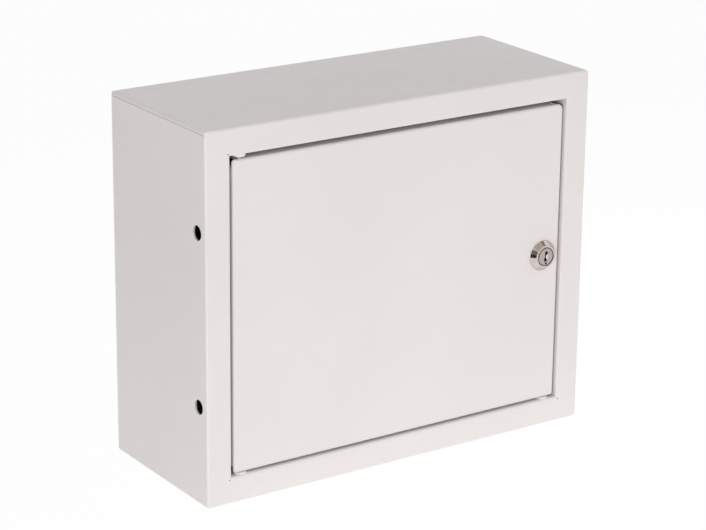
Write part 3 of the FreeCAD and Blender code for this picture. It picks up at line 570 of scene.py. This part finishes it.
def loft(name, rings, closed=False):
    """Skin a row of rings of (across, up, along) points, closed as a loop or with two ends."""
    count = len(rings[0])
    points = [point for ring in rings for point in ring]
    faces = []
    for row in range(len(rings) if closed else len(rings) - 1):
        first = row * count
        second = (row + 1) % len(rings) * count
        for step in range(count):
            after = (step + 1) % count
            faces.append((first + step, first + after, second + after, second + step))
    if not closed:
        faces.append(tuple(reversed(range(count))))
        faces.append(tuple(range(len(points) - count, len(points))))
    return mesh_object(name, points, faces)


def turned_rings(profile, steps=ROUND_STEPS):
    """Rings of a turned shape from (reach, along) pairs.

    An along may be a rule of the angle, and a reach a rule of the angle and the along.
    """
    rings = []
    for reach, along in profile:
        ring = []
        for step in range(steps):
            angle = TURN * step / steps
            level = along(angle) if callable(along) else along
            radius = reach(angle, level) if callable(reach) else reach
            ring.append((radius * math.cos(angle), radius * math.sin(angle), level))
        rings.append(ring)
    return rings


def hexagon(width):
    """A rule for the reach of a hexagon with a corner along X, the same at every level."""
    sixth = TURN / 6

    def reach(angle, level=0.0):
        return width / 2 / math.cos(angle % sixth - sixth / 2)

    return reach


def nut_piece(width, bore, height):
    """A hexagon nut, chamfered on both faces and countersunk at both ends of its bore."""
    reach = hexagon(width)
    face = width / 2 * NUT_FACE
    sink = 2 * EDGE

    def drop(angle):
        return (reach(angle) - face) * math.tan(NUT_CHAMFER)

    return loft("nut_piece", turned_rings([
        (bore + sink, 0), (face, 0), (reach, drop), (reach, lambda angle: height - drop(angle)),
        (face, height), (bore + sink, height), (bore, height - sink), (bore, sink)]), closed=True)


def washer_piece(radius, bore, height):
    """A punched washer with rolled edges."""
    return loft("washer_piece", turned_rings([
        (bore + EDGE, 0), (radius - EDGE, 0), (radius, EDGE), (radius, height - 2 * EDGE),
        (radius - EDGE, height - EDGE / 2), (radius - 2 * EDGE, height), (bore + EDGE, height),
        (bore, height - EDGE), (bore, EDGE)]), closed=True)


def split_washer_piece(radius, bore, height):
    """A spring washer: a square wire wound once, its ends cut on the slant."""
    wound = TURN - 2 * SPLIT_HALF - SPLIT_SLANT
    section = ((bore, 0), (radius - EDGE, 0), (radius, EDGE), (radius, height - EDGE),
               (radius - EDGE, height), (bore, height))
    rings = []
    for step in range(ROUND_STEPS + 1):
        ring = []
        for reach, level in section:
            angle = SPLIT_HALF + wound * step / ROUND_STEPS + SPLIT_SLANT * level / height
            ring.append((reach * math.cos(angle), reach * math.sin(angle), level))
        rings.append(ring)
    return loft("split_washer_piece", [list(reversed(ring)) for ring in rings])


def socket_screw_piece(radius, head_height, shank_radius, length):
    """A cap screw, head down at zero: hexagon socket, rolled head and plain shank."""
    socket = hexagon(radius)
    depth = head_height * SOCKET_SHARE
    crown = 3 * EDGE

    return loft("socket_screw_piece", turned_rings([
        (EDGE, head_height - depth - EDGE), (socket, head_height - depth),
        (socket, head_height - EDGE), (lambda angle, level: socket(angle) + EDGE, head_height),
        (radius - crown, head_height), (radius - EDGE, head_height - EDGE),
        (radius, head_height - crown), (radius, EDGE), (radius - EDGE, 0), (shank_radius, 0),
        (shank_radius, EDGE - length), (shank_radius - EDGE, -length)]))


# Lock housing and plug

def lock_axis():
    low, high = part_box("lock_plug")
    return Vector(((low.x + high.x) / 2, low.y, (low.z + high.z) / 2))


def stand_at_lock(mesh):
    """Turn a mesh from its own upright axis to the front, on the lock's axis."""
    middle = lock_axis()
    place = Matrix.Translation((middle.x, 0, middle.z))
    mesh.transform(place @ Matrix.Rotation(TO_FRONT, 4, "X"))


def barrel_thread(angle, along):
    """How far the lock's barrel reaches: a thread, cut by two flats."""
    winds = (along / BARREL_PITCH - angle / TURN) * 2
    wave = abs(winds % 2 - 1)
    crest = BARREL_RADIUS - THREAD_SHARE * BARREL_PITCH * wave
    return min(crest, BARREL_FLAT / max(abs(math.cos(angle)), FLAT_LIMIT))


def lock_housing_profile(face, rear):
    """(reach, along) pairs of the lock's housing, and how many come before its groove with painted
    shade.

    They run from the rear of its barrel over its head and back through its bore.
    """
    top = face - DOOR_GAUGE
    rim = face + HEAD_HEIGHT
    turns = round((top - rear) / BARREL_PITCH * THREAD_STEPS)

    def end(angle):
        in_notch = (math.cos(angle) * GROOVE_OUTER < STOP_HALF
                    and math.sin(angle) * GROOVE_OUTER > -STOP_HALF)
        return rear + STOP_DEPTH if in_notch else rear

    def thread_row(row):
        return barrel_thread, lambda angle: end(angle) + (top - end(angle)) * row / turns

    def cone_row(row):
        share = row / HEAD_ROWS
        reach = HEAD_FOOT - EDGE / 2 + (HEAD_RIM - HEAD_FOOT + EDGE / 2) * share
        height = 3 * EDGE + (HEAD_HEIGHT - 6 * EDGE) * share
        return reach + HEAD_BULGE * math.sin(math.pi * share), face + height

    profile = [
        (TAIL_BORE + EDGE, end),
        (lambda angle, along: barrel_thread(angle, along) - 2 * EDGE, end),
        *[thread_row(row) for row in range(1, turns + 1)],
        (BARREL_RADIUS, top + EDGE),
        (BARREL_RADIUS, face),
        (HEAD_FOOT - EDGE, face),
        (HEAD_FOOT, face + EDGE),
        (HEAD_FOOT, face + 2 * EDGE),
        *[cone_row(row) for row in range(HEAD_ROWS + 1)],
        (HEAD_RIM - EDGE / 2, rim - EDGE),
        (HEAD_RIM - 1.5 * EDGE, rim - EDGE / 4),
        (HEAD_RIM - 2.5 * EDGE, rim),
        (GROOVE_OUTER + EDGE, rim),
        (GROOVE_OUTER, rim - EDGE)]
    bore = [
        (GROOVE_OUTER, rim - GROOVE_DEPTH),
        (PLUG_BORE + EDGE, rim - GROOVE_DEPTH - EDGE / 2),
        (PLUG_BORE, rim - GROOVE_DEPTH - EDGE),
        (PLUG_BORE, face + SHOULDER_HEIGHT),
        (TAIL_BORE, face + SHOULDER_HEIGHT),
        (TAIL_BORE, lambda angle: end(angle) + EDGE)]
    return profile + bore, len(profile)


def make_lock_housing(finish, groove):
    """The lock's housing with its threaded barrel and conical head, with painted shade inside its
    groove.
    """
    low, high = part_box("lock_housing")
    profile, polished = lock_housing_profile(-low.y - HEAD_HEIGHT, -high.y)
    housing = loft("lock_housing_turned", turned_rings(profile, BARREL_STEPS), closed=True)
    stand_at_lock(housing.data)
    keep(housing, "door", "nickel", finish, "lock_housing")
    housing.data.materials.append(groove)
    groove_shade_slot = 1
    # Rows inside the groove take the darker nickel: painted shade
    for number, side in enumerate(housing.data.polygons):
        if polished - 1 <= number // BARREL_STEPS < len(profile) - 1:
            side.material_index = groove_shade_slot


def scoop_outline(depth):
    """The scoop's outline at a depth behind the plug's face, in millimetres."""
    root = SCOOP_ROOT + SCOOP_SLOPE * (SCOOP_DEPTH - depth) / MM
    return ((root + SCOOP_LEAN * SCOOP_LOW, SCOOP_LOW),
            (root + SCOOP_LEAN * SCOOP_HIGH, SCOOP_HIGH),
            (SCOOP_LEFT, SCOOP_HIGH), (SCOOP_LEFT, SCOOP_LOW))


def cut_at_lock(piece, face, name, depth, rear_outline, front_outline):
    """Take a tapered plug of metal out of a piece's face on the lock's axis."""
    ends = ((rear_outline, face - depth), (front_outline, face + OVERCUT))
    cutter = loft(name, [[(across * MM, up * MM, along) for across, up in outline]
                         for outline, along in ends])
    stand_at_lock(cutter.data)
    cut = piece.modifiers.new(name, "BOOLEAN")
    cut.operation = "DIFFERENCE"
    cut.object = cutter
    return cutter


def make_lock_plug(finish, shade, polish):
    """The plug, its keyway opened out at the mouth, with a polished flank and a shaded dot."""
    face = -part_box("lock_plug")[0].y
    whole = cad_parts["lock_plug"].data
    plug = mesh_object("lock_plug_worn", [point.co for point in whole.vertices],
                       [side.vertices for side in whole.polygons])
    plug.modifiers.new("weld", "WELD").merge_threshold = WELD_GAP
    cuts = (("mouth", MOUTH_DEPTH, MOUTH_OUTLINE, MOUTH_OUTLINE),
            ("scoop", SCOOP_DEPTH, scoop_outline(SCOOP_DEPTH), scoop_outline(-OVERCUT)),
            ("dot", DOT_DEPTH, DOT_OUTLINE, DOT_OUTLINE))
    cutters = [cut_at_lock(plug, face, *cut) for cut in cuts]
    settle(plug)
    for cutter in cutters:
        bpy.data.objects.remove(cutter)
    keep(plug, "lock_core", "nickel", finish, "lock_plug")
    plug.data.materials.append(shade)
    plug.data.materials.append(polish)
    shaded_slot, polished_slot = 1, 2
    flank = Vector((-1, -SCOOP_SLOPE, SCOOP_LEAN)).normalized()
    middle = lock_axis()
    for side in plug.data.polygons:
        across, up = side.center.x - middle.x, side.center.z - middle.z
        in_dot = abs(across) < DOT_HALF * MM + EDGE and up < DOT_TOP * MM + EDGE
        # The dot's walls take the darker nickel: painted shade
        if in_dot and OVERCUT < side.center.y + face < 2 * DOT_DEPTH:
            side.material_index = shaded_slot
        elif side.normal.dot(flank) > FLANK_MATCH:
            side.material_index = polished_slot


# Geometry nodes

class Maker(Kit):
    """A geometry tree with named inputs that ends in real, dressed geometry."""

    def __init__(self, name, **inputs):
        super().__init__(bpy.data.node_groups.new(name, "GeometryNodeTree"))
        self.name_socket("Points", "INPUT", "Geometry")
        for label, kind in inputs.items():
            self.name_socket(label, "INPUT", kind)
        self.name_socket("Turn", "INPUT", "Vector")
        self.name_socket("Finish", "INPUT", "Material")
        self.name_socket("Pieces", "OUTPUT", "Geometry")
        self.given = self.add("NodeGroupInput").outputs

    def name_socket(self, name, way, kind):
        self.tree.interface.new_socket(name, in_out=way, socket_type=f"NodeSocket{kind}")

    def stand(self, piece):
        """Stand the piece, turned, on every point."""
        inputs = {"Points": self.given["Points"], "Instance": piece, "Rotation": self.given["Turn"]}
        placed = self.add("GeometryNodeInstanceOnPoints", inputs).outputs["Instances"]
        solid = self.add("GeometryNodeRealizeInstances", {"Geometry": placed}).outputs["Geometry"]
        inputs = {"Geometry": solid, "Material": self.given["Finish"]}
        dressed = self.add("GeometryNodeSetMaterial", inputs).outputs["Geometry"]
        output = self.add("NodeGroupOutput")
        self.link(dressed, output.inputs["Pieces"])
        return self.tree


def set_out_tree():
    """Stand a ready-made piece on each point."""
    maker = Maker("set_out", Piece="Object")
    piece = maker.add("GeometryNodeObjectInfo", {"Object": maker.given["Piece"]})
    return maker.stand(piece.outputs["Geometry"])


def threaded_rod_tree():
    """Cut a thread round a rod, chamfer both its ends and stand it on each point."""
    maker = Maker("threaded_rod", Radius="Float", Length="Float", Pitch="Float", Depth="Float")
    radius, length = maker.given["Radius"], maker.given["Length"]
    pitch, depth = maker.given["Pitch"], maker.given["Depth"]
    half = maker.math("DIVIDE", length, 2.0)
    levels = maker.math("MULTIPLY", maker.math("DIVIDE", length, pitch), float(THREAD_STEPS))
    rod = maker.add("GeometryNodeMeshCylinder", {"Vertices": ROUND_STEPS, "Side Segments": levels,
                                                 "Radius": radius, "Depth": length})
    here = maker.add("GeometryNodeInputPosition").outputs[0]
    place = maker.add("ShaderNodeSeparateXYZ", {0: here})
    across, up, along = place.outputs["X"], place.outputs["Y"], place.outputs["Z"]
    angle = maker.math("ARCTAN2", up, across)
    winds = maker.math("SUBTRACT", maker.math("DIVIDE", along, pitch),
                       maker.math("DIVIDE", angle, TURN))
    wave = maker.math("PINGPONG", maker.math("MULTIPLY", winds, 2.0), 1.0)
    crest = maker.math("SUBTRACT", radius, maker.math("MULTIPLY", depth, wave))
    from_end = maker.math("SUBTRACT", half, maker.math("ABSOLUTE", along))
    chamfer = maker.math("ADD", maker.math("SUBTRACT", radius, depth), from_end)
    reach = maker.math("MINIMUM", crest, chamfer)
    inputs = {"X": maker.math("MULTIPLY", reach, maker.math("COSINE", angle)),
              "Y": maker.math("MULTIPLY", reach, maker.math("SINE", angle)),
              "Z": maker.math("ADD", along, half)}
    cut = maker.add("ShaderNodeCombineXYZ", inputs).outputs["Vector"]
    inputs = {"Geometry": rod.outputs["Mesh"], "Position": cut}
    threaded = maker.add("GeometryNodeSetPosition", inputs)
    return maker.stand(threaded.outputs["Geometry"])


def grow(name, tree, points, values):
    """Run a tree on the points and keep its result as a plain mesh at the origin."""
    made = mesh_object(name, points, [])
    modifier = made.modifiers.new("maker", "NODES")
    modifier.node_group = tree
    for item in tree.interface.items_tree:
        if item.in_out == "INPUT" and item.name in values:
            modifier[item.identifier] = values[item.name]
    settle(made)
    return made


# Fasteners on the CAD parts' own places

def thickness(part):
    """How far a part reaches from front to back."""
    low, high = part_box(part)
    return high.y - low.y


def seats(studs, part, radius, turn):
    """Where a part sits on each stud: on the studs' axes, at its own foot."""
    low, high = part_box(studs)
    foot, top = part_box(part)
    places = set()
    for x in (low.x + radius, high.x - radius):
        across = round(x, PLACE_DECIMALS)
        if turn == UPRIGHT:
            for y in (low.y + radius, high.y - radius):
                places.add((across, round(y, PLACE_DECIMALS), foot.z))
        else:
            for z in (low.z + radius, high.z - radius):
                level = top.y if turn == TO_FRONT else foot.y
                places.add((across, level, round(z, PLACE_DECIMALS)))
    return sorted(places)


def set_pieces(part, places, turn, piece, body, finish, slot="zinc_hardware"):
    """Set copies of a ready-made piece out on a part's places."""
    values = {"Piece": piece, "Turn": (turn, 0, 0), "Finish": finish}
    made = grow(f"{part}_shaped", set_out, places, values)
    bpy.data.objects.remove(piece)
    keep(made, body, slot, finish, part)


def set_studs(part, radius, pitch, turn, body, finish):
    """Thread a part's studs over their whole length."""
    low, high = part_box(part)
    length = high.z - low.z if turn == UPRIGHT else high.y - low.y
    values = {"Radius": radius, "Length": length, "Pitch": pitch, "Depth": THREAD_SHARE * pitch,
              "Turn": (turn, 0, 0), "Finish": finish}
    made = grow(f"{part}_threaded", threaded_rod, seats(part, part, radius, turn), values)
    keep(made, body, "zinc_hardware", finish, part)


def dress(finish, *names):
    """Give CAD pieces one finish."""
    for name in names:
        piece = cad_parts[name]
        piece.data.materials.clear()
        piece.data.materials.append(finish)


def round_edges(name):
    """Weld a CAD piece's loose faces and roll its sharp edges."""
    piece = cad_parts[name]
    piece.modifiers.new("weld", "WELD").merge_threshold = WELD_GAP
    bevel = piece.modifiers.new("edges", "BEVEL")
    bevel.width = EDGE
    bevel.segments = EDGE_STEPS
    bevel.angle_limit = SMOOTH_UP_TO
    bevel.harden_normals = True


# Finishes, and the CAD pieces that show as they are

paint = powder_coat()
zinc = galvanised_sheet()
plating = bright_zinc()
nickel = polished_nickel()
plug_face = turned_nickel()
groove = shadowed_nickel()
nylon = moulded_nylon()
foam = foam_rubber()

dress(paint, "case_shell", "back_panel", "door_panel", "door_stop_top", "door_stop_bottom",
      "hinge_block_top", "hinge_block_bottom")
dress(zinc, "mounting_plate", "entry_plate")
dress(plating, "hinge_pin_top", "hinge_pin_bottom", "pin_clip", "lock_cam", "stop_washer")
dress(nylon, "hinge_bush_top", "hinge_bush_bottom", "spare_bush_top", "spare_bush_bottom",
      "plate_spacers")
dress(foam, "entry_gasket")

# Studs, nuts and washers

set_out = set_out_tree()
threaded_rod = threaded_rod_tree()

for studs, nuts, washers, turn, body in STUD_SETS:
    set_studs(studs, M6_RADIUS, M6_PITCH, turn, body, plating)
set_studs("entry_studs", M5_RADIUS, M5_PITCH, UPRIGHT, "case", plating)
for studs, nuts, washers, turn, body in STUD_SETS:
    nut = nut_piece(M6_NUT_WIDTH, M6_RADIUS, thickness(nuts))
    set_pieces(nuts, seats(studs, nuts, M6_RADIUS, turn), turn, nut, body, plating)
for studs, nuts, washers, turn, body in STUD_SETS:
    washer = washer_piece(2 * M6_RADIUS, M6_RADIUS + WASHER_SLACK, thickness(washers))
    set_pieces(washers, seats(studs, washers, M6_RADIUS, turn), turn, washer, body, plating)
low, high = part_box("entry_nuts")
set_pieces("entry_nuts", seats("entry_studs", "entry_nuts", M5_RADIUS, UPRIGHT), UPRIGHT,
           nut_piece(M5_NUT_WIDTH, M5_RADIUS, high.z - low.z), "case", plating)

# Lock, from its housing to the screw behind its cam

make_lock_housing(nickel, groove)
make_lock_plug(plug_face, groove, nickel)
middle = lock_axis()
low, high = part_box("lock_nut")
set_pieces("lock_nut", [(middle.x, low.y, middle.z)], TO_WALL,
           nut_piece(LOCK_NUT_WIDTH, BARREL_RADIUS, high.y - low.y), "door", nickel, "nickel")
low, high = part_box("cam_washer")
set_pieces("cam_washer", [(middle.x, low.y, middle.z)], TO_WALL,
           split_washer_piece(CAM_WASHER_RADIUS, CAM_SCREW_SHANK + WASHER_SLACK, high.y - low.y),
           "lock_core", plating)
foot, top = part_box("cam_screw")
set_pieces("cam_screw", [(middle.x, high.y, middle.z)], TO_WALL,
           socket_screw_piece(CAM_SCREW_HEAD, top.y - high.y, CAM_SCREW_SHANK, high.y - foot.y),
           "lock_core", plating)
for part in ("stop_washer", "lock_cam"):
    round_edges(part)

make_camera()
make_room_light()
make_key_light()
make_floor()
make_reflections()
bpy.context.scene.view_settings.view_transform = "Standard"
